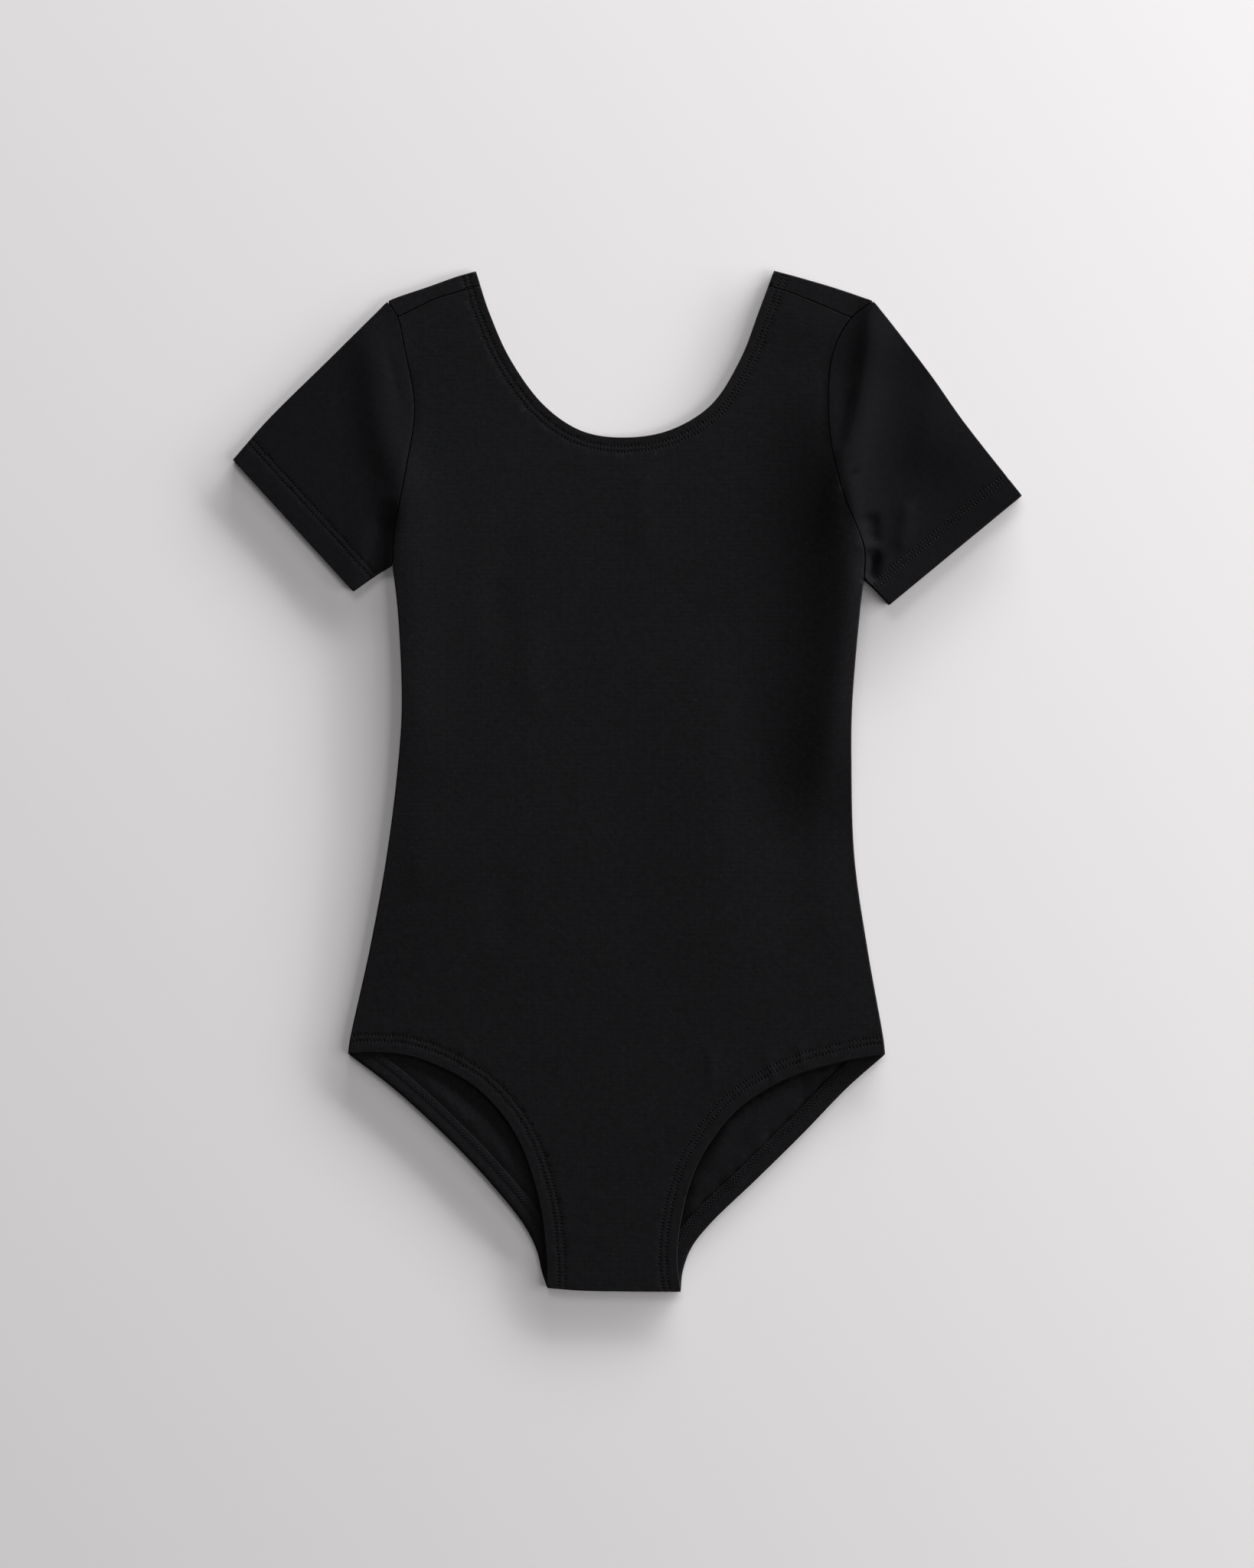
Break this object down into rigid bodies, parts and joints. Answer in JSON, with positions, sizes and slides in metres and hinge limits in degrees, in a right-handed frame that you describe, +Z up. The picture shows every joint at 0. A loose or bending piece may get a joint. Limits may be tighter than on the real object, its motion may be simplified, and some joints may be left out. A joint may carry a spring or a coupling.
{
  "type": "leotard",
  "caption": "Child's black jersey leotard with short sleeves and a scoop neck, laid flat on its back with its two layers lying on each other.",
  "frame": {"origin": "middle of the garment's box in plan, on the surface that it lies on", "axes": "+X to the right of someone who looks down at the front, +Y from the crotch to the shoulders, +Z up, out of the front"},
  "size_m": [0.4326, 0.5598, 0.0057],
  "materials": {
    "jersey": "dull black cotton and elastane jersey",
    "hem": "black jersey turned over elastic and sewn with a twin row"
  },
  "bodies": {
    "root": {"front_panel": "jersey", "back_panel": "jersey", "sleeve_left": "jersey", "sleeve_right": "jersey", "neck_hem": "hem", "leg_hem_left": "hem", "leg_hem_right": "hem"}
  },
  "joints": []
}
